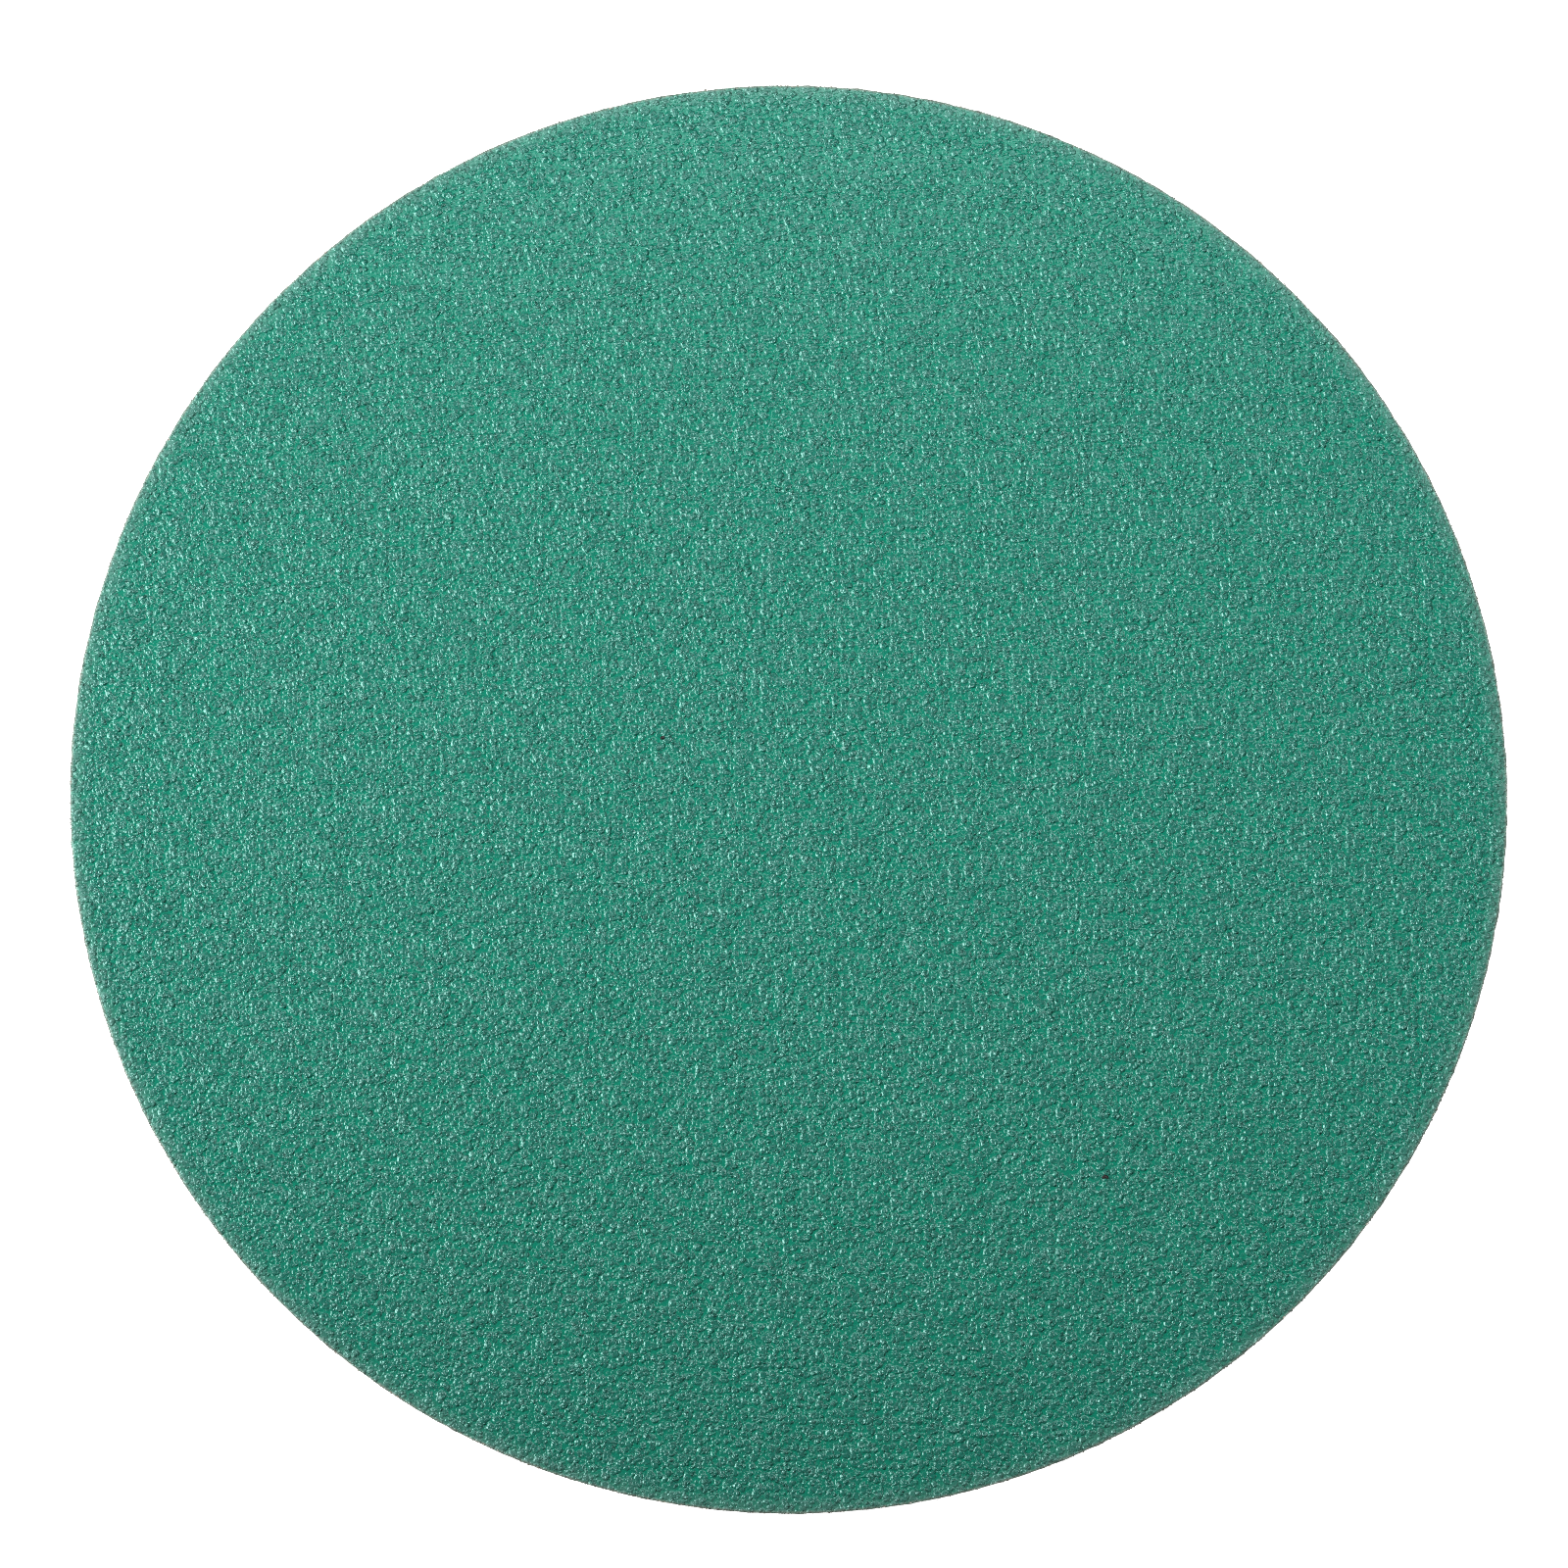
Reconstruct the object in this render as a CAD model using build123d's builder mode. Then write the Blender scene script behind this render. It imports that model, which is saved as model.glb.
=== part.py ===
"""Hook and loop sanding disc, 150 mm across, with no dust holes.

The disc is a laminate of three layers, stacked upwards from the face that grips the sander's pad:

    loop_cloth     warp-knitted nylon cloth whose loops stand down from a thin ground, in lengthwise ribs
    backing_paper  heavy paper, glued flat to the back of the cloth
    abrasive_coat  grit of about 40 grade, standing in make resin and sealed under a green size resin

All three are cut in one blow of a round steel rule. The rule enters through the grit, so it leaves a
slightly sloping wall and rolls the grit down around the rim. The loops have nothing beside them there,
so they lean outwards and bevel the lower edge.

Millimetres. +Z points out of the abrasive face. The origin is the centre of the loop face, on the
plane that the loops stand on.
"""

import math
import os

from build123d import *

# The outline, as the steel rule cuts it. The size is taken where the paper meets the cloth.
disc_diameter = 150.0
cut_slope = 5.0  # degrees that the cut wall leans in, towards the grit

# Loop cloth
cloth_thickness = 1.1  # ground and loops together
loop_bevel = 0.45  # bevel of the lower edge, where the outermost loops lean outwards
rib_pitch = 1.8  # distance from one row of loops to the next
channel_width = 1.05  # bare stripe between two rows, measured on the loop face
channel_depth = 0.22

# Backing paper
paper_thickness = 0.38

# Abrasive coat
coat_thickness = 0.62  # make resin, one layer of grit and size resin
roll_width = 1.3  # how far in from the rim the grit is pressed down
roll_drop = 0.26  # how far it is pressed down at the rim

disc_radius = disc_diameter / 2
paper_bottom = cloth_thickness
paper_top = paper_bottom + paper_thickness
coat_top = paper_top + coat_thickness


def cut_radius(height):
    """Radius of the sloping cut wall at a height above the loop face, from the paper upwards."""
    return disc_radius - (height - paper_bottom) * math.tan(math.radians(cut_slope))


# Loop cloth: a round blank with a bevelled lower edge, and a channel between each two rows of loops
last_channel = disc_radius - loop_bevel - channel_width  # no channel is centred further out than this
# An even number of channels leaves a row of loops across the centre.
channels_each_side = math.floor(last_channel / rib_pitch + 0.5)
# A channel is a shallow trough, part of a circle that is channel_width across at the loop face.
trough_radius = (channel_width**2 / 4 + channel_depth**2) / (2 * channel_depth)

with BuildPart() as loop_cloth:
    Cylinder(disc_radius, cloth_thickness, align=(Align.CENTER, Align.CENTER, Align.MIN))
    chamfer(loop_cloth.edges().group_by(Axis.Z)[0], length=loop_bevel)
    with BuildSketch(Plane.XZ):
        with Locations((0, channel_depth - trough_radius)):
            with GridLocations(rib_pitch, 0, 2 * channels_each_side, 1):
                Circle(trough_radius)
    extrude(amount=disc_diameter, both=True, mode=Mode.SUBTRACT)

# Backing paper: flat on both faces, with the cut wall as its edge
with BuildPart() as backing_paper:
    with BuildSketch(Plane.XZ):
        with BuildLine():
            Polyline(
                (0, paper_bottom),
                (cut_radius(paper_bottom), paper_bottom),
                (cut_radius(paper_top), paper_top),
                (0, paper_top),
                close=True,
            )
        make_face()
    revolve(axis=Axis.Z)

# Abrasive coat: the same cut wall below, then the rolled rim, then the flat working face
rim_height = coat_top - roll_drop
with BuildPart() as abrasive_coat:
    with BuildSketch(Plane.XZ):
        with BuildLine():
            Polyline(
                (0, coat_top),
                (0, paper_top),
                (cut_radius(paper_top), paper_top),
                (cut_radius(rim_height), rim_height),
            )
            roll = TangentArc(
                (disc_radius - roll_width, coat_top),
                (cut_radius(rim_height), rim_height),
                tangent=(1, 0),
            )
            Line(roll @ 0, (0, coat_top))
        make_face()
    revolve(axis=Axis.Z)

loop_cloth.part.label = "loop_cloth"
backing_paper.part.label = "backing_paper"
abrasive_coat.part.label = "abrasive_coat"

os.makedirs("parts", exist_ok=True)
for layer in (loop_cloth, backing_paper, abrasive_coat):
    export_step(layer.part, f"parts/{layer.part.label}.step")
    size = layer.part.bounding_box().size
    print(f"{layer.part.label}: {size.X:.2f} x {size.Y:.2f} x {size.Z:.2f} mm, {layer.part.volume:.0f} mm3")
print(f"whole disc: {coat_top:.2f} mm thick, {2 * channels_each_side} channels in the loop face")
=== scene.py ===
"""Looks of a hook and loop sanding disc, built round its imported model.

The disc lies as it comes to rest, loop side down, and the camera looks down on its grit.
"""

import math

import bpy
import numpy as np
from mathutils import Matrix, Vector


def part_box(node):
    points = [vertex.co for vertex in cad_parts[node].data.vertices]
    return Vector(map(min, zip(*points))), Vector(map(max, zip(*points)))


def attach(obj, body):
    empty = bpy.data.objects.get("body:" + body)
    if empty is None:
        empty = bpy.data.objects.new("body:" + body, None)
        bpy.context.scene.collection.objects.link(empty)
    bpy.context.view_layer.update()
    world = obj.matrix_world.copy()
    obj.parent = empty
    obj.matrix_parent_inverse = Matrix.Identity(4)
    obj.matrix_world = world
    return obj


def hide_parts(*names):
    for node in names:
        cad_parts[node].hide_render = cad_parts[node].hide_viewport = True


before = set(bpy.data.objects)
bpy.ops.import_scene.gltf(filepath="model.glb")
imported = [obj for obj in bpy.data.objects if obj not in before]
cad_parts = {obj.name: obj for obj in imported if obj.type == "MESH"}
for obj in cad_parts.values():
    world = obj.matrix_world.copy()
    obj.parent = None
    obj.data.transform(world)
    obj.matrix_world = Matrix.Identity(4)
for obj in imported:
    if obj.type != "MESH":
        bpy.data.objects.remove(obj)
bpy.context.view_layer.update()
mm = 0.001

# Size coat
# The green resin that seals the grit. It runs down between the grains, sets there in glossy pools and
# leaves only a thin skin on the grains. The rule that cuts the disc rolls it down around the rim.
coat_low, coat_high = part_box("abrasive_coat")
paper_low, paper_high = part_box("backing_paper")
coat_bottom = coat_low.z
coat_thickness = coat_high.z - coat_low.z
disc_radius = paper_high.x
cut_slope = math.radians(5.0)
roll_width = 1.3 * mm
roll_drop = 0.17 * mm
pool_level = 0.44 * mm  # of the resin between the grains, above the paper
ring_step = 1.2 * mm  # from one ring of the mesh to the next, inside the rolled rim
rings_in_roll = 6

pool_green = (0.0004, 0.109, 0.067, 1.0)
film_green = (0.0055, 0.081, 0.059, 1.0)
bare_grain = (0.024, 0.066, 0.054, 1.0)
crushed_green = (0.050, 0.119, 0.096, 1.0)
split_grain = (0.220, 0.195, 0.168, 1.0)
glint_green = (0.605, 1.0, 0.94, 1.0)
resin_gloss = 1.555  # refractive index of phenolic resin


def cut_radius(height):
    """Radius of the sloping cut wall at a height above the floor."""
    return disc_radius - (height - paper_low.z) * math.tan(cut_slope)


def in_roll(radius):
    """0 on the flat of the disc, rising to 1 at the rim."""
    return np.clip((radius - disc_radius + roll_width) / roll_width, 0.0, 1.0)


def pressed(radius):
    """How much of its thickness the coat keeps under the rolled rim."""
    return 1.0 - roll_drop / coat_thickness * in_roll(radius) ** 2


wave_rng = np.random.default_rng(11)
wave_count = 36
wave_length = wave_rng.uniform(3.0, 9.0, wave_count) * mm
wave_heading = wave_rng.uniform(0.0, 2.0 * math.pi, wave_count)
wave_start = wave_rng.uniform(0.0, 2.0 * math.pi, wave_count)
swell_height = 0.03 * mm


def swell(x, y):
    """The slow rise and fall of the resin, where it was laid thicker or thinner."""
    total = np.zeros_like(x)
    for length, heading, start in zip(wave_length, wave_heading, wave_start):
        run = x * math.cos(heading) + y * math.sin(heading)
        total += np.sin(2.0 * math.pi * run / length + start)
    return swell_height * total / math.sqrt(wave_count / 2.0)


def mesh_piece(name, points, faces, smooth=True):
    """A new object of the given points and faces, in metres."""
    mesh = bpy.data.meshes.new(name)
    mesh.from_pydata(np.asarray(points).tolist(), [], [list(f) for f in faces])
    mesh.validate()
    if smooth:
        mesh.shade_smooth()
    else:
        mesh.shade_flat()
    piece = bpy.data.objects.new(name, mesh)
    bpy.context.scene.collection.objects.link(piece)
    return piece


def point_values(piece, name, values):
    """Stores one number for each point of a piece, which its material reads by name."""
    layer = piece.data.attributes.new(name, "FLOAT", "POINT")
    layer.data.foreach_set("value", np.asarray(values, np.float32))


def square_rings(radii):
    """Points of a disc in rings of 8, 16, 24 and so on round a centre, and the quads between them."""
    points = [(0.0, 0.0)]
    for ring, radius in enumerate(radii, start=1):
        for step in range(8 * ring):
            turn = 2.0 * math.pi * step / (8 * ring)
            points.append((radius * math.cos(turn), radius * math.sin(turn)))
    faces = []
    first_inner, first = 0, 1
    for ring in range(1, len(radii) + 1):
        count, inner = 8 * ring, max(8 * (ring - 1), 1)
        at_inner = 0
        for step in range(count):
            a, b = first + step, first + (step + 1) % count
            corner = ring > 1 and (step + 1) % ring == 0
            c = first_inner + at_inner % inner
            if ring == 1:
                faces.append((a, b, first_inner))
            elif corner:
                faces.append((a, b, c))
            else:
                d = first_inner + (at_inner + 1) % inner
                faces.append((a, b, d, c))
                at_inner += 1
        first_inner, first = first, first + count
    return np.array(points), faces


flat_radius = disc_radius - roll_width
inner_rings = round(flat_radius / ring_step)
radii = [flat_radius * i / inner_rings for i in range(1, inner_rings + 1)]
rim_height = coat_bottom + pool_level * float(pressed(disc_radius))
outer_radius = cut_radius(rim_height)
rolled = outer_radius - flat_radius
radii += [flat_radius + rolled * i / rings_in_roll for i in range(1, rings_in_roll + 1)]
flat_points, coat_faces = square_rings(radii)
x, y = flat_points.T
z = coat_bottom + pressed(np.hypot(x, y)) * (pool_level + swell(x, y))
rim_count = 8 * len(radii)
rim_first = len(flat_points) - rim_count
rim_points = flat_points[rim_first:]
raggedness = 0.035 * mm  # of the resin's torn edge
ragged = np.random.default_rng(12).normal(0.0, raggedness, rim_count)
out = 1.0 + ragged / disc_radius
top = np.column_stack([x, y, z])
top[rim_first:, :2] = rim_points * out[:, None]
bottom_ring = np.column_stack([
    rim_points * (cut_radius(coat_bottom) / outer_radius) * (1.0 + 0.5 * ragged / disc_radius)[:, None],
    np.full(rim_count, coat_bottom),
])
coat_points = np.vstack([top, bottom_ring])
below = len(flat_points)
for step in range(rim_count):
    after = (step + 1) % rim_count
    coat_faces.append((rim_first + after, rim_first + step, below + step, below + after))
coat_faces.append([below + step for step in reversed(range(rim_count))])
size_coat = mesh_piece("size_coat", coat_points, coat_faces)
point_values(size_coat, "rise", np.zeros(len(coat_points)))
point_values(size_coat, "tone", np.full(len(coat_points), 0.5))
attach(size_coat, "root")
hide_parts("abrasive_coat")


def group_of(name, inputs, outputs):
    """An empty shader node group with its sockets. inputs and outputs are (name, type, value)."""
    group = bpy.data.node_groups.new(name, "ShaderNodeTree")
    for label, kind, value in inputs:
        socket = group.interface.new_socket(label, in_out="INPUT", socket_type="NodeSocket" + kind)
        socket.default_value = value
    for label, kind, _ in outputs:
        group.interface.new_socket(label, in_out="OUTPUT", socket_type="NodeSocket" + kind)
    return group, group.nodes.new("NodeGroupInput"), group.nodes.new("NodeGroupOutput")


def node(tree, kind, values=None, **links):
    """Adds a node. values are its settings and unlinked inputs, links the sockets that feed it."""
    made = tree.nodes.new(kind)
    for key, value in (values or {}).items():
        if key in made.inputs:
            made.inputs[key].default_value = value
        else:
            setattr(made, key, value)
    for key, source in links.items():
        tree.links.new(source, made.inputs[key.replace("_", " ")])
    return made


def math_node(tree, operation, a, b):
    """One operation on two numbers or sockets. Returns its result."""
    made = tree.nodes.new("ShaderNodeMath")
    made.operation = operation
    for slot, value in zip(made.inputs, (a, b)):
        if isinstance(value, (int, float)):
            slot.default_value = value
        else:
            tree.links.new(value, slot)
    return made.outputs[0]


def plus(tree, a, b):
    """The sum of two numbers or sockets."""
    return math_node(tree, "ADD", a, b)


def times(tree, a, b):
    """The product of two numbers or sockets."""
    return math_node(tree, "MULTIPLY", a, b)


def mix_colour(tree, factor, a, b):
    """Mixes two colours or colour sockets by a factor. Returns the result."""
    made = tree.nodes.new("ShaderNodeMix")
    made.data_type = "RGBA"
    for index, value in ((0, factor), (6, a), (7, b)):
        slot = made.inputs[index]
        if isinstance(value, bpy.types.NodeSocket):
            tree.links.new(value, slot)
        else:
            slot.default_value = value
    return made.outputs[2]


def noise(tree, place, per_mm, detail=2.0, roughness=0.5):
    """Noise of about per_mm lumps to the millimetre. Returns its value, from 0 to 1."""
    settings = {"Scale": per_mm / mm, "Detail": detail, "Roughness": roughness}
    return node(tree, "ShaderNodeTexNoise", settings, Vector=place).outputs["Fac"]


def stretch(tree, value, low, high, to_low=0.0, to_high=1.0):
    """Maps low to high onto to_low to to_high, clamped."""
    made = node(tree, "ShaderNodeMapRange",
                {"From Min": low, "From Max": high, "To Min": to_low, "To Max": to_high}, Value=value)
    return made.outputs["Result"]


# The resin skin: green, deep in the pools and thin over the grains, where the grain's own colour shows.
resin_skin, skin_in, skin_out = group_of(
    "resin skin",
    [
        ("Rise", "Float", 0.0),
        ("Tone", "Float", 0.5),
        ("Pool", "Color", pool_green),
        ("Film", "Color", film_green),
        ("Grain", "Color", bare_grain),
        ("Crushed", "Color", crushed_green),
        ("Split", "Color", split_grain),
        ("Disc radius", "Float", disc_radius),
    ],
    [("Color", "Color", None), ("Roughness", "Float", None), ("Height", "Float", None)],
)
place = node(resin_skin, "ShaderNodeTexCoord").outputs["Object"]
coarse_lumps = noise(resin_skin, place, 0.9, 2.0)
fine_lumps = noise(resin_skin, place, 3.6, 2.0, 0.55)
specks = noise(resin_skin, place, 6.5, 1.0)
# Grains under the resin: low mounds with a skirt, in two sizes, each of its own breadth and outline
bend = node(resin_skin, "ShaderNodeTexNoise", {"Scale": 1.7 / mm, "Detail": 1.0}, Vector=place)
bent = node(resin_skin, "ShaderNodeVectorMath", {"operation": "MULTIPLY_ADD"})
resin_skin.links.new(bend.outputs["Color"], bent.inputs[0])
bent.inputs[1].default_value = (0.22 * mm, 0.22 * mm, 0.0)
resin_skin.links.new(place, bent.inputs[2])


def mounds(tree, place, across, least, spread, skirt):
    """Mounds that stand across apart. least and spread set their half width, and skirt is the width of their
    sides. Returns a mask that is 1 on them, and their height, which differs from one to the next."""
    settings = {"voronoi_dimensions": "2D", "Scale": 1.0 / across}
    cells = node(tree, "ShaderNodeTexVoronoi", settings, Vector=place)
    chance = node(tree, "ShaderNodeSeparateColor", Color=cells.outputs["Color"])
    half_width = plus(tree, times(tree, chance.outputs["Red"], spread / across), least / across)
    inward = math_node(tree, "SUBTRACT", half_width, cells.outputs["Distance"])
    mask = stretch(tree, inward, -0.5 * skirt / across, 0.5 * skirt / across)
    tall = stretch(tree, chance.outputs["Green"], 0.0, 1.0, 0.65, 1.25)
    return mask, times(tree, mask, tall)


broad, broad_height = mounds(resin_skin, bent.outputs[0], 0.85 * mm, 0.20 * mm, 0.26 * mm, 0.16 * mm)
slight, slight_height = mounds(resin_skin, bent.outputs[0], 0.43 * mm, 0.10 * mm, 0.15 * mm, 0.11 * mm)
mound_height = plus(resin_skin, broad_height, times(resin_skin, slight_height, 0.42))
# How thin the resin is: by the rise of the grain, and by small runs and gathers
gathers = math_node(resin_skin, "SUBTRACT", fine_lumps, 0.5)
thin = plus(resin_skin, times(resin_skin, broad, 0.8), times(resin_skin, slight, 0.5))
thin = plus(resin_skin, thin, times(resin_skin, skin_in.outputs["Rise"], 0.3))
thin = plus(resin_skin, thin, times(resin_skin, gathers, 0.8))
over_grain = stretch(resin_skin, thin, 0.0, 1.0)
green = mix_colour(resin_skin, over_grain, skin_in.outputs["Pool"], skin_in.outputs["Film"])
# Bare tips: only on some grains, and only at their highest spots
tip = plus(resin_skin, thin, times(resin_skin, skin_in.outputs["Tone"], 0.55))
tip = plus(resin_skin, tip, times(resin_skin, specks, 0.5))
bare = stretch(resin_skin, tip, 1.6, 2.3, 0.0, 0.5)
skinned = mix_colour(resin_skin, bare, green, skin_in.outputs["Grain"])
# The rolled rim: the rule crushes the resin there, which turns it pale and dull
flat_place = node(resin_skin, "ShaderNodeVectorMath", {"operation": "MULTIPLY"})
resin_skin.links.new(place, flat_place.inputs[0])
flat_place.inputs[1].default_value = (1.0, 1.0, 0.0)
radius = node(resin_skin, "ShaderNodeVectorMath", {"operation": "LENGTH"})
resin_skin.links.new(flat_place.outputs[0], radius.inputs[0])
inset = math_node(resin_skin, "SUBTRACT", skin_in.outputs["Disc radius"], radius.outputs["Value"])
crush = math_node(resin_skin, "POWER", stretch(resin_skin, inset, 0.0, 2.2 * mm, 1.0, 0.0), 1.5)
crush = times(resin_skin, crush, stretch(resin_skin, coarse_lumps, 0.25, 0.6, 0.30, 0.80))
coloured = mix_colour(resin_skin, crush, skinned, skin_in.outputs["Crushed"])
# The last third of a millimetre is split through, and shows the grain's inside
split = times(resin_skin, stretch(resin_skin, inset, 0.0, 0.36 * mm, 1.0, 0.0),
              stretch(resin_skin, fine_lumps, 0.30, 0.60, 0.25, 0.75))
coloured = mix_colour(resin_skin, split, coloured, skin_in.outputs["Split"])
dull = stretch(resin_skin, fine_lumps, 0.3, 0.7, 0.16, 0.28)
dull = plus(resin_skin, dull, times(resin_skin, crush, 0.22))
ripple = plus(resin_skin, times(resin_skin, fine_lumps, 0.10), mound_height)
resin_skin.links.new(coloured, skin_out.inputs["Color"])
resin_skin.links.new(dull, skin_out.inputs["Roughness"])
resin_skin.links.new(ripple, skin_out.inputs["Height"])


def shaded(name, group, bump_depth, group_values=None, attributes=(), **surface):
    """A material whose Principled shader takes colour, roughness and bump from a node group."""
    material = bpy.data.materials.new(name)
    material.use_nodes = True
    tree = material.node_tree
    shader = tree.nodes["Principled BSDF"]
    for key, value in surface.items():
        shader.inputs[key.replace("_", " ")].default_value = value
    effect = tree.nodes.new("ShaderNodeGroup")
    effect.node_tree = group
    for key, value in (group_values or {}).items():
        effect.inputs[key].default_value = value
    for attribute in attributes:
        source = tree.nodes.new("ShaderNodeAttribute")
        source.attribute_name = attribute
        tree.links.new(source.outputs["Fac"], effect.inputs[attribute.capitalize()])
    bump = node(tree, "ShaderNodeBump", {"Distance": bump_depth}, Height=effect.outputs["Height"])
    tree.links.new(effect.outputs["Color"], shader.inputs["Base Color"])
    tree.links.new(effect.outputs["Roughness"], shader.inputs["Roughness"])
    tree.links.new(bump.outputs["Normal"], shader.inputs["Normal"])
    return material


mound_rise = 0.10 * mm
size_coat.data.materials.append(
    shaded("size coat resin", resin_skin, mound_rise, attributes=("rise", "tone"),
           IOR=resin_gloss, Specular_Tint=glint_green))

# Grit
# Blocky grains of fused aluminium oxide, thrown on electrostatically so that they stand on end in the
# make resin. Four sieve fractions are mixed, and each is a piece of its own here.
grain_pitch = 0.444 * mm
scatter = 0.45  # of the pitch, each way
edge_margin = 0.2 * mm  # from the outermost grain's middle to the edge
foot_depth = 0.02 * mm  # of a grain's foot in the resin
root_depth = 0.15 * mm
grain_forms = {
    # form: (sides, has a ring at its shoulder, has a peak)
    "blocky": (5, True, True),
    "blunt": (3, True, False),
    "pointed": (3, False, True),
}
fractions = {
    # name: (form, share of the places, least and greatest half width, least and greatest height)
    "coarse_grit": ("blocky", 0.078, 0.26 * mm, 0.35 * mm, 0.07 * mm, 0.15 * mm),
    "medium_grit": ("blunt", 0.195, 0.20 * mm, 0.29 * mm, 0.04 * mm, 0.08 * mm),
    "fine_grit": ("pointed", 0.355, 0.19 * mm, 0.27 * mm, 0.03 * mm, 0.07 * mm),
    "finest_grit": ("pointed", 0.355, 0.15 * mm, 0.22 * mm, 0.03 * mm, 0.06 * mm),
}


def grain_faces(count, form):
    """Triangles of closed grains. A grain's points are the ring at its foot, the ring at its shoulder if it
    has one and its peak if it has one. One with both also has a root, the others have a flat underside."""
    sides, shoulder, peak = grain_forms[form]
    foot = np.arange(sides)
    next_foot = np.roll(foot, -1)
    upper, next_upper, size = foot, next_foot, sides
    faces = []
    if shoulder:
        upper, next_upper, size = foot + sides, next_foot + sides, 2 * sides
        faces.append(np.column_stack([upper, foot, next_upper]))
        faces.append(np.column_stack([next_upper, foot, next_foot]))
    if peak:
        faces.append(np.column_stack([upper, next_upper, np.full(sides, size)]))
        size += 1
    else:
        faces.append(upper[None])
    if shoulder and peak:
        faces.append(np.column_stack([next_foot, foot, np.full(sides, size)]))
        size += 1
    else:
        faces.append(foot[None, ::-1])
    one = np.vstack(faces)
    return (one[None] + size * np.arange(count)[:, None, None]).reshape(-1, 3), size


def ring_points(out, turn, up):
    """Points at a distance out from each grain's axis, turned and lifted."""
    return np.stack([out * np.cos(turn), out * np.sin(turn), up], -1)


def grains(rng, form, x, y, level, half_width, height):
    """Points of grains that stand at x, y on a level, in the order that grain_faces takes them."""
    sides, shoulder, peak = grain_forms[form]
    count = len(x)
    turn = rng.uniform(0.0, 2.0 * math.pi, count)[:, None]
    step = 2.0 * math.pi * np.arange(sides) / sides
    sway = 1.2 / sides
    foot_turn = turn + step + math.pi / sides + rng.uniform(-sway, sway, (count, sides))
    foot_out = half_width[:, None] * rng.uniform(0.90, 1.25, (count, sides))
    rings = [ring_points(foot_out, foot_turn, np.full((count, sides), -foot_depth))]
    if shoulder:
        shoulder_turn = turn + step + rng.uniform(-sway, sway, (count, sides))
        shoulder_out = half_width[:, None] * rng.uniform(0.42, 0.75, (count, sides))
        shoulder_up = height[:, None] * rng.uniform(0.60, 1.0, (count, sides))
        rings.append(ring_points(shoulder_out, shoulder_turn, shoulder_up))
    if peak:
        aside = half_width[:, None] * rng.uniform(-0.28, 0.28, (count, 2))
        rings.append(np.column_stack([aside, height])[:, None, :])
    if shoulder and peak:
        rings.append(np.column_stack([np.zeros((count, 2)), np.full(count, -root_depth)])[:, None, :])
    points = np.concatenate(rings, 1)
    # Each grain is drawn out one way
    heading = rng.uniform(0.0, math.pi, count)[:, None]
    along = points[:, :, 0] * np.cos(heading) + points[:, :, 1] * np.sin(heading)
    longer = rng.uniform(0.0, 0.40, count)[:, None] * along
    points[:, :, 0] += longer * np.cos(heading) + x[:, None]
    points[:, :, 1] += longer * np.sin(heading) + y[:, None]
    points[:, :, 2] += level[:, None]
    return points


def trimmed(points):
    """Cuts grains off at the cut wall, by drawing their outermost points back to it."""
    radius = np.hypot(points[..., 0], points[..., 1])
    back = np.minimum(1.0, cut_radius(points[..., 2]) / np.maximum(radius, mm))
    points[..., 0] *= back
    points[..., 1] *= back
    return points


scatter_rng = np.random.default_rng(21)
rows = int(disc_radius / (grain_pitch * math.sqrt(0.75))) + 2
columns = int(disc_radius / grain_pitch) + 2
column, row = np.meshgrid(np.arange(-columns, columns + 1), np.arange(-rows, rows + 1))
grain_x = (column + 0.5 * (row % 2)).ravel() * grain_pitch
grain_y = row.ravel() * grain_pitch * math.sqrt(0.75)
grain_x = grain_x + scatter_rng.uniform(-scatter, scatter, grain_x.size) * grain_pitch
grain_y = grain_y + scatter_rng.uniform(-scatter, scatter, grain_y.size) * grain_pitch
on_disc = np.hypot(grain_x, grain_y) < disc_radius - edge_margin
grain_x, grain_y = grain_x[on_disc], grain_y[on_disc]
draw = scatter_rng.random(grain_x.size)

grit_resin = shaded("resin over grit", resin_skin, mound_rise, attributes=("rise", "tone"),
                    IOR=resin_gloss, Specular_Tint=glint_green)
drawn = 0.0
for index, (name, (form, portion, narrow, wide, low, high)) in enumerate(fractions.items()):
    rng = np.random.default_rng(30 + index)
    mine = (draw >= drawn) & (draw < drawn + portion)
    drawn += portion
    x, y = grain_x[mine], grain_y[mine]
    count = len(x)
    size = rng.random(count)
    half_width = narrow + (wide - narrow) * size
    height = low + (high - low) * np.clip(size + rng.normal(0.0, 0.25, count), 0.0, 1.0)
    radius = np.hypot(x, y)
    level = coat_bottom + pressed(radius) * (pool_level + swell(x, y))
    height = np.minimum(height, coat_thickness - pool_level - swell(x, y)) * pressed(radius)
    points = trimmed(grains(rng, form, x, y, level, half_width, height))
    faces, each = grain_faces(count, form)
    grit = mesh_piece(name, points.reshape(-1, 3), faces)
    sides, shoulder, peak = grain_forms[form]
    rise = np.ones((count, each))
    rise[:, :sides] = 0.0
    if shoulder:
        rise[:, sides:2 * sides] = 0.8
    point_values(grit, "rise", rise.ravel())
    point_values(grit, "tone", np.repeat(rng.random(count), each))
    # The foot is a sharp edge, so that the hidden underside doesn't darken the flanks
    ends = np.zeros(2 * len(grit.data.edges), np.int32)
    grit.data.edges.foreach_get("vertices", ends)
    at_foot = (ends.reshape(-1, 2) % each < sides).all(1)
    grit.data.attributes.new("sharp_edge", "BOOLEAN", "EDGE").data.foreach_set("value", at_foot)
    grit.data.materials.append(grit_resin)
    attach(grit, "root")

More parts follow.
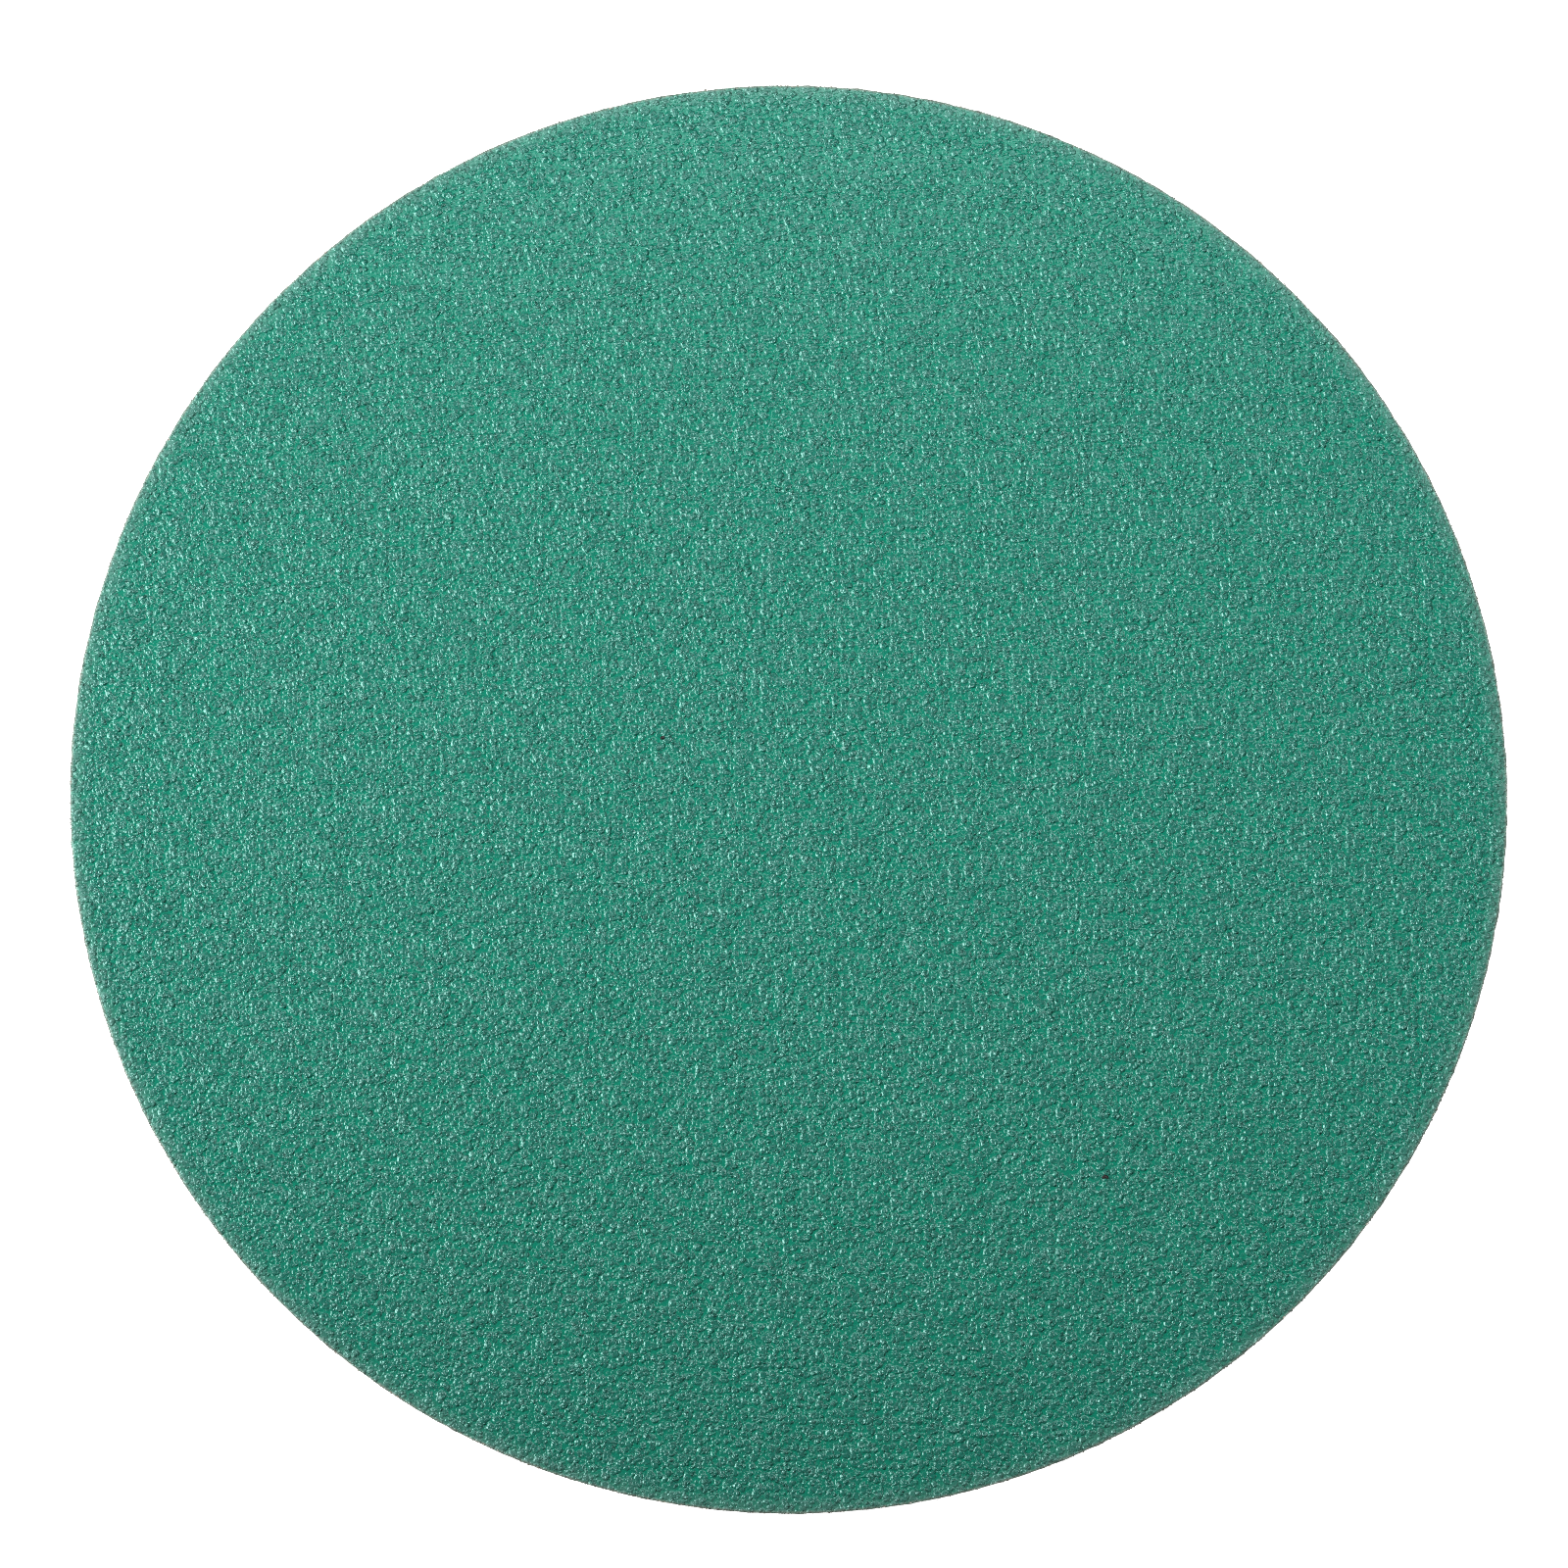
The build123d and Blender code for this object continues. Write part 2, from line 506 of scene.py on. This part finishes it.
# Scorched grains
# Two grains burnt dark in the furnace, which got into the mix. They are held by the resin like the rest.
scorched_places = ((-13.5 * mm, 5.0 * mm), (32.4 * mm, -40.7 * mm))
x, y = np.array(scorched_places).T
level = coat_bottom + pool_level + swell(x, y)
scorched_half_width = np.array([0.22, 0.35]) * mm
scorched_height = coat_thickness - pool_level - swell(x, y)  # up to the coat's top
points = grains(np.random.default_rng(41), "blocky", x, y, level, scorched_half_width, scorched_height)
faces, each = grain_faces(2, "blocky")
scorched = mesh_piece("scorched_grains", points.reshape(-1, 3), faces, smooth=False)
point_values(scorched, "rise", np.ones(2 * each))
point_values(scorched, "tone", np.zeros(2 * each))
scorch_brown = (0.008, 0.006, 0.006, 1.0)
scorch_tip = (0.014, 0.010, 0.009, 1.0)
slag_gloss = 1.35  # duller than the resin
scorched.data.materials.append(
    shaded("scorched grain", resin_skin, 0.05 * mm, attributes=("rise", "tone"), IOR=slag_gloss,
           group_values={"Pool": scorch_brown, "Film": scorch_brown, "Grain": scorch_tip}))
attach(scorched, "root")

# Cut rim
# The steel rule breaks through the grit. Along the cut wall the grains are split and show their own pale
# grey-brown between torn edges of the resin.
chip_count = 1500
chip_rng = np.random.default_rng(51)
chip_place = np.arange(chip_count) + chip_rng.uniform(-0.4, 0.4, chip_count)
chip_turn = 2.0 * math.pi * chip_place / chip_count
chip_size = chip_rng.uniform(0.09, 0.20, chip_count) * mm
chip_clearance = 0.06 * mm  # of the highest chip below the coat's top
rim_top = coat_bottom + (coat_thickness - chip_clearance) * float(pressed(disc_radius))
rim_margin = 0.08 * mm
chip_reach = rim_top - coat_bottom - 2.0 * rim_margin
chip_height = coat_bottom + rim_margin + chip_rng.random(chip_count) * chip_reach
chip_radius = cut_radius(chip_height) - chip_rng.uniform(-0.03, 0.15, chip_count) * mm
corner_turn = chip_rng.uniform(-0.5, 0.5, (chip_count, 6)) + np.array([0.0, 2.1, 4.2, 1.05, 3.15, 5.25])
corner_out = chip_size[:, None] * chip_rng.uniform(0.6, 1.0, (chip_count, 6))
# The chip's axis points outward: its foot ring is inside the coat and its shoulder ring at the wall
corner_depth = np.array([-0.6, -0.6, -0.6, 0.35, 0.35, 0.35])  # outward, by the chip's size
depth = corner_depth * chip_size[:, None] * chip_rng.uniform(0.7, 1.2, (chip_count, 6))
sideways = corner_out * np.cos(corner_turn)
upward = corner_out * np.sin(corner_turn) * 0.8
reach = chip_radius[:, None] + depth
lift = np.clip(chip_height[:, None] + upward, coat_bottom + 0.01 * mm, rim_top)
chips = np.stack([
    reach * np.cos(chip_turn)[:, None] - sideways * np.sin(chip_turn)[:, None],
    reach * np.sin(chip_turn)[:, None] + sideways * np.cos(chip_turn)[:, None],
    lift,
], -1)
faces, each = grain_faces(chip_count, "blunt")
cut_grit = mesh_piece("cut_grit", chips.reshape(-1, 3), faces, smooth=False)
point_values(cut_grit, "rise", np.ones(chip_count * each))
point_values(cut_grit, "tone", np.repeat(chip_rng.random(chip_count), each))
chip_pool = (0.060, 0.150, 0.115, 1.0)
chip_film = (0.200, 0.200, 0.160, 1.0)
chip_inside = (0.330, 0.250, 0.200, 1.0)
chip_crushed = (0.230, 0.230, 0.190, 1.0)
cut_grit.data.materials.append(
    shaded("cut grain", resin_skin, 0.05 * mm, attributes=("rise", "tone"), IOR=resin_gloss,
           group_values={"Pool": chip_pool, "Film": chip_film, "Grain": chip_inside,
                         "Crushed": chip_crushed}))
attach(cut_grit, "root")

# Backing paper
# Heavy latex-saturated paper, between the grit and the cloth. Only its cut edge shows, a band of pressed
# fibres a third of a millimetre high.
fibre, fibre_in, fibre_out = group_of(
    "fibre",
    [
        ("Light", "Color", (0.8, 0.8, 0.8, 1.0)),
        ("Shade", "Color", (0.5, 0.5, 0.5, 1.0)),
        ("Across", "Float", 1.0),
        ("Layers", "Float", 1.0),
        ("Dull", "Float", 0.8),
    ],
    [("Color", "Color", None), ("Roughness", "Float", None), ("Height", "Float", None)],
)
place = node(fibre, "ShaderNodeTexCoord").outputs["Object"]
across = fibre_in.outputs["Across"]
squeeze = node(fibre, "ShaderNodeCombineXYZ", X=across, Y=across, Z=fibre_in.outputs["Layers"])
squeezed = node(fibre, "ShaderNodeVectorMath", {"operation": "MULTIPLY"})
fibre.links.new(place, squeezed.inputs[0])
fibre.links.new(squeeze.outputs[0], squeezed.inputs[1])
strands_seen = noise(fibre, squeezed.outputs[0], 4.0, 4.0, 0.65)
stain = noise(fibre, place, 0.25, 2.0)
mottle = plus(fibre, times(fibre, strands_seen, 1.5), times(fibre, stain, 0.15))
mottle = stretch(fibre, mottle, 0.50, 1.15)
mottled = mix_colour(fibre, mottle, fibre_in.outputs["Shade"], fibre_in.outputs["Light"])
fibre.links.new(mottled, fibre_out.inputs["Color"])
roughened = math_node(fibre, "SUBTRACT", fibre_in.outputs["Dull"], times(fibre, mottle, 0.12))
fibre.links.new(roughened, fibre_out.inputs["Roughness"])
fibre.links.new(strands_seen, fibre_out.inputs["Height"])

paper_light = (0.300, 0.235, 0.165, 1.0)
paper_shade = (0.150, 0.118, 0.082, 1.0)
paper_material = shaded(
    "latex paper", fibre, 0.06 * mm,
    group_values={"Light": paper_light, "Shade": paper_shade, "Across": 0.8, "Layers": 5.0, "Dull": 0.9})
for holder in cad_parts["backing_paper"].material_slots:
    holder.material = paper_material


def strands(paths, radii, across):
    """Three-sided strands along paths of equally many points. across is one sideways direction for each."""
    count, stations = paths.shape[:2]
    ahead = np.gradient(paths, axis=1)
    ahead /= np.linalg.norm(ahead, axis=2, keepdims=True)
    side = np.repeat(across[:, None, :], stations, 1)
    side = side - (side * ahead).sum(2, keepdims=True) * ahead
    side /= np.linalg.norm(side, axis=2, keepdims=True)
    up = np.cross(ahead, side)
    turn = 2.0 * math.pi * np.arange(3) / 3
    ring = (np.cos(turn)[None, None, :, None] * side[:, :, None, :]
            + np.sin(turn)[None, None, :, None] * up[:, :, None, :])
    points = paths[:, :, None, :] + radii[:, :, None, None] * ring
    corner = np.arange(3)
    after = np.roll(corner, -1)
    first_band = np.column_stack([corner, after, after + 3, corner + 3])
    band = np.vstack([first_band + 3 * station for station in range(stations - 1)])
    faces = (band[None] + 3 * stations * np.arange(count)[:, None, None]).reshape(-1, 4)
    return points.reshape(-1, 3), faces


# Torn fibres stand out of the paper's cut edge, each bent once.
torn_count = 520
torn_rng = np.random.default_rng(61)
turn = torn_rng.uniform(0.0, 2.0 * math.pi, torn_count)
torn_length = torn_rng.uniform(0.10, 0.42, torn_count) * mm
start_height = paper_low.z + torn_rng.uniform(0.06, 0.34, torn_count) * mm
outward = turn + torn_rng.uniform(-1.1, 1.1, torn_count)
rising = torn_rng.uniform(-0.5, 0.5, torn_count)
torn_paths = np.zeros((torn_count, 3, 3))
fibre_root = 0.08 * mm  # of each fibre, inside the cut edge
start = cut_radius(start_height) - fibre_root
torn_paths[:, 0] = np.column_stack([start * np.cos(turn), start * np.sin(turn), start_height])
bends = ((0.55, 0.0), (1.0, 0.8))  # how far along a fibre, and how much it has turned aside there
for station, (reach, bend) in enumerate(bends, start=1):
    heading = outward + bend * torn_rng.uniform(-1.0, 1.0, torn_count)
    torn_paths[:, station, 0] = torn_paths[:, 0, 0] + reach * torn_length * np.cos(heading)
    torn_paths[:, station, 1] = torn_paths[:, 0, 1] + reach * torn_length * np.sin(heading)
    torn_paths[:, station, 2] = start_height + reach * torn_length * rising
torn_thickness = torn_rng.uniform(0.010, 0.019, torn_count) * mm
torn_radii = torn_thickness[:, None] * np.array([1.0, 0.9, 0.15])
upright = np.tile([0.0, 0.0, 1.0], (torn_count, 1))
torn_points, torn_faces = strands(torn_paths, torn_radii, upright)
torn_fibres = mesh_piece("torn_fibres", torn_points, torn_faces)
torn_light = (0.36, 0.33, 0.28, 1.0)
torn_shade = (0.20, 0.19, 0.16, 1.0)
torn_fibres.data.materials.append(
    shaded("torn paper fibre", fibre, 0.01 * mm,
           group_values={"Light": torn_light, "Shade": torn_shade, "Dull": 0.85}))
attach(torn_fibres, "root")

# Loop cloth
# Brushed nylon loop fabric, glued over the whole back. Its loops stand in close rows, with a shallow
# channel between each two rows, and the ground knit shows between them.
cloth_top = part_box("loop_cloth")[1].z
rib_pitch = 1.8 * mm
rib_half = 0.375 * mm  # half the width of a row
crest_level = 0.16 * mm  # of the ground under a row, above the table
channel_level = 0.38 * mm
cloth_bevel = 0.22 * mm
bevel_steepness = 1.2
cloth_inset = 0.03 * mm  # of the cloth's edge, under the paper's
chord_step = 3.2 * mm
least_step = 0.04 * mm


def ground_level(x):
    """Height of the ground knit's underside, which is lowest under each row of loops."""
    from_row = np.abs((x / rib_pitch + 0.5) % 1.0 - 0.5) * rib_pitch
    rise = np.clip((from_row - rib_half) / (0.5 * rib_pitch - rib_half), 0.0, 1.0)
    return crest_level + (channel_level - crest_level) * np.sin(0.5 * math.pi * rise)


cloth_radius = disc_radius - cloth_inset
rows_each_way = int(cloth_radius / rib_pitch)
across_rib = np.array([0.0, 0.21, 0.28, 0.37, 0.5, 0.63, 0.72, 0.79])  # of the pitch, from a row to the next
ribs = range(-rows_each_way - 2, rows_each_way + 2)
rib_stations = np.concatenate([rib_pitch * rib + rib_pitch * across_rib for rib in ribs])
near_ends = cloth_radius * np.cos(np.radians([1.2, 2.4, 3.6, 4.8, 6.0, 7.5]))
stations = np.unique(np.round(np.concatenate([rib_stations, near_ends, -near_ends]), 7))
stations = stations[np.abs(stations) <= near_ends[0]]
stations = stations[np.concatenate([[True], np.diff(stations) > least_step])]
chord_points = 2 * round(cloth_radius / chord_step) + 1
across_chord = np.linspace(-1.0, 1.0, chord_points)
half_chord = np.sqrt(cloth_radius ** 2 - stations ** 2)
ground_x = np.repeat(stations[:, None], chord_points, 1)
ground_y = half_chord[:, None] * across_chord[None]
ground_z = ground_level(ground_x)
inset = cloth_radius - np.hypot(ground_x, ground_y)
ground_z = ground_z + np.clip(cloth_bevel - inset, 0.0, None) * bevel_steepness
columns = len(stations)
grid = np.arange(columns * chord_points).reshape(columns, chord_points)
corners = [grid[:-1, :-1], grid[:-1, 1:], grid[1:, 1:], grid[1:, :-1]]
ground_faces = np.stack(corners, -1).reshape(-1, 4).tolist()
outline = np.concatenate([grid[:, 0], grid[-1, 1:], grid[-2::-1, -1], grid[0, -2:0:-1]])
ground_points = np.column_stack([ground_x.ravel(), ground_y.ravel(), ground_z.ravel()])
upper_outline = ground_points[outline].copy()
upper_outline[:, 2] = cloth_top
first_upper = len(ground_points)
around = len(outline)
for step in range(around):
    after = (step + 1) % around
    ground_faces.append((outline[step], outline[after], first_upper + after, first_upper + step))
ground_faces.append([first_upper + step for step in range(around)])
loop_ground = mesh_piece("loop_ground", np.vstack([ground_points, upper_outline]), ground_faces)
ends = np.zeros(2 * len(loop_ground.data.edges), np.int32)
loop_ground.data.edges.foreach_get("vertices", ends)
on_outline = np.zeros(first_upper + around, bool)
on_outline[outline] = True
on_outline[first_upper:] = True
at_edge = on_outline[ends.reshape(-1, 2)].all(1)
loop_ground.data.attributes.new("sharp_edge", "BOOLEAN", "EDGE").data.foreach_set("value", at_edge)
nylon_light = (0.400, 0.392, 0.366, 1.0)
nylon_shade = (0.250, 0.244, 0.224, 1.0)
knit_shade = (0.165, 0.161, 0.147, 1.0)
loop_ground.data.materials.append(
    shaded("ground knit", fibre, 0.16 * mm, Sheen_Weight=0.25, Sheen_Roughness=0.6,
           group_values={"Light": nylon_light, "Shade": knit_shade, "Across": 1.0, "Layers": 1.0}))
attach(loop_ground, "root")
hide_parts("loop_cloth")

# The loops: arches of brushed yarn that stand on the ground knit, row by row, leaning every way.
yarn_rng = np.random.default_rng(71)
loops_apart = 0.93 * mm
loop_margin = 0.45 * mm  # from the last loop to the cloth's edge
yarn_root = 0.10 * mm  # of a loop, inside the ground knit
loop_places = []
for rib in range(-rows_each_way, rows_each_way + 1):
    row_x = rib * rib_pitch
    reach = math.sqrt(max((cloth_radius - loop_margin) ** 2 - row_x ** 2, 0.0))
    row_y = np.arange(-reach, reach, loops_apart)
    row_y = row_y + yarn_rng.uniform(-0.35, 0.35, len(row_y)) * loops_apart
    loop_places.append(np.column_stack([row_x + yarn_rng.uniform(-0.42, 0.42, len(row_y)) * mm, row_y]))
loop_places = np.vstack(loop_places)
loop_count = len(loop_places)
heading = yarn_rng.uniform(0.0, math.pi, loop_count)
forward = np.column_stack([np.cos(heading), np.sin(heading), np.zeros(loop_count)])
sideways = np.column_stack([-np.sin(heading), np.cos(heading), np.zeros(loop_count)])
loop_half = yarn_rng.uniform(0.24, 0.46, loop_count) * mm
yarn = yarn_rng.uniform(0.055, 0.085, loop_count) * mm
root_level = ground_level(loop_places[:, 0]) + yarn_root
low_level = yarn + yarn_rng.uniform(0.0, 0.09, loop_count) * mm
leaning = yarn_rng.uniform(-0.25, 0.25, loop_count) * mm
loop_paths = np.zeros((loop_count, 4, 3))
arch = ((-0.62, 0.0), (-0.85, 0.92), (0.85, 1.0), (0.62, 0.0))  # share of the half width, and of the drop
for station, (along, drop) in enumerate(arch):
    at = along * loop_half[:, None] * forward + drop * leaning[:, None] * sideways
    loop_paths[:, station, :2] = loop_places + at[:, :2]
    loop_paths[:, station, 2] = root_level + drop * (low_level - root_level)
loop_radii = np.repeat(yarn[:, None], 4, 1)
loop_points, loop_faces = strands(loop_paths, loop_radii, sideways)
radius = np.hypot(loop_points[:, 0], loop_points[:, 1])
loop_points[:, :2] *= np.minimum(1.0, disc_radius / radius)[:, None]
loops = mesh_piece("loops", loop_points, loop_faces)
loops.data.materials.append(
    shaded("loop yarn", fibre, 0.03 * mm, Sheen_Weight=0.35, Sheen_Roughness=0.5,
           group_values={"Light": nylon_light, "Shade": nylon_shade, "Across": 1.6, "Layers": 1.6,
                         "Dull": 0.75}))
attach(loops, "root")

# Table, light and camera
# The disc lies on a white table. Soft windows stand at its left and, weaker, at its right. Two long panels
# hang beyond it and a dark card takes light off its foot, as the glints and the slow fall of light show. A
# lamp under the table lights the loop side.
table_half = 3.0
table = mesh_piece("table", [(-table_half, -table_half, 0), (table_half, -table_half, 0),
                             (table_half, table_half, 0), (-table_half, table_half, 0)], [(0, 1, 2, 3)])
table_white = bpy.data.materials.new("white table")
table_white.use_nodes = True
table_tree = table_white.node_tree
table_shader = table_tree.nodes["Principled BSDF"]
table_shader.inputs["Base Color"].default_value = (0.93, 0.93, 0.93, 1.0)
table_shader.inputs["Roughness"].default_value = 0.9
table_shader.inputs["Specular IOR Level"].default_value = 0.1
table_shader.inputs["Emission Color"].default_value = (1.0, 1.0, 1.0, 1.0)
# It glows more to the camera than onto the disc, so that it stays white in the picture
glow_on_disc = 0.20
glow_to_camera = 0.80
ray = table_tree.nodes.new("ShaderNodeLightPath")
glow = stretch(table_tree, ray.outputs["Is Camera Ray"], 0.0, 1.0, glow_on_disc, glow_to_camera)
table_tree.links.new(glow, table_shader.inputs["Emission Strength"])
# Seen from below the table is clear, and it lets the lamp under it through, so that the loop side shows
clear = table_tree.nodes.new("ShaderNodeBsdfTransparent")
facing = table_tree.nodes.new("ShaderNodeNewGeometry")
either = table_tree.nodes.new("ShaderNodeMixShader")
from_below = facing.outputs["Backfacing"]
to_a_light = ray.outputs["Is Shadow Ray"]
see_through = math_node(table_tree, "MAXIMUM", from_below, to_a_light)
table_tree.links.new(see_through, either.inputs[0])
table_tree.links.new(table_shader.outputs[0], either.inputs[1])
table_tree.links.new(clear.outputs[0], either.inputs[2])
table_tree.links.new(either.outputs[0], table_tree.nodes["Material Output"].inputs["Surface"])
table.data.materials.append(table_white)


def soft_light(name, place, aim, width, depth, radiance):
    """A rectangular light that faces aim. radiance is its face's, in watts a steradian a square metre."""
    lamp = bpy.data.lights.new(name, "AREA")
    lamp.shape = "RECTANGLE"
    lamp.size = width
    lamp.size_y = depth
    lamp.energy = radiance * width * depth * math.pi
    holder = bpy.data.objects.new(name, lamp)
    holder.location = place
    holder.rotation_euler = (Vector(aim) - Vector(place)).to_track_quat("-Z", "Y").to_euler()
    holder.visible_camera = False
    bpy.context.scene.collection.objects.link(holder)


soft_light("window at the left", (-0.79, -0.15, 0.56), (0.0, 0.0, 0.0), 1.10, 0.36, 16.6)
soft_light("low window at the left", (-0.85, -0.16, 0.42), (0.0, 0.0, 0.0), 0.80, 0.30, 1.5)
soft_light("high window at the left", (-0.59, -0.12, 0.68), (0.0, 0.0, 0.0), 0.80, 0.30, 5.7)
soft_light("window at the right", (0.72, 0.20, 0.50), (0.0, 0.0, 0.0), 0.60, 0.30, 7.3)
soft_light("high panel beyond", (0.0, 0.26, 0.30), (0.0, 0.259, 0.0), 0.90, 0.25, 2.6)
soft_light("near panel beyond", (0.0, 0.20, 0.20), (0.0, 0.199, 0.0), 0.90, 0.12, 1.5)
soft_light("lamp under the table", (-0.45, -0.30, -0.50), (0.0, 0.0, 0.0), 0.40, 0.30, 25.0)
card_half = 0.3
card_y = -0.10
card_foot = 0.001
card_top = 0.10
card_points = [(-card_half, card_y, card_foot), (card_half, card_y, card_foot),
               (card_half, card_y, card_top), (-card_half, card_y, card_top)]
card = mesh_piece("dark_card", card_points, [(0, 1, 2, 3)])
card_grey = bpy.data.materials.new("dark card")
card_grey.use_nodes = True
card_shader = card_grey.node_tree.nodes["Principled BSDF"]
card_shader.inputs["Base Color"].default_value = (0.12, 0.12, 0.12, 1.0)
card.data.materials.append(card_grey)
card.visible_camera = False
room = bpy.data.worlds.new("room")
room.use_nodes = True
room.node_tree.nodes["Background"].inputs["Color"].default_value = (1.0, 1.0, 1.0, 1.0)
room.node_tree.nodes["Background"].inputs["Strength"].default_value = 0.19
bpy.context.scene.world = room
bpy.context.scene.view_settings.view_transform = "Standard"

camera_tilt = math.radians(6.9)  # from straight above
camera_side = math.radians(-12.7)  # which way it leans, from the picture's foot
camera_distance = 0.4539
camera = bpy.data.objects.new("camera", bpy.data.cameras.new("camera"))
camera.data.lens = 100.0
camera.data.sensor_width = 36.0
camera.data.shift_x = -0.0050  # these two set the disc's place in the picture
camera.data.shift_y = 0.0009
back = Vector((math.sin(camera_side) * math.sin(camera_tilt),
               -math.cos(camera_side) * math.sin(camera_tilt), math.cos(camera_tilt)))
right = Vector((0.0, 1.0, 0.0)).cross(back).normalized()
up = back.cross(right)
camera.matrix_world = Matrix.Translation(Vector((0, 0, coat_high.z)) + back * camera_distance) @ Matrix(
    (right, up, back)).transposed().to_4x4()
bpy.context.scene.collection.objects.link(camera)
bpy.context.scene.camera = camera
bpy.context.scene.cycles.filter_width = 1.0
bpy.context.scene.cycles.use_denoising = False
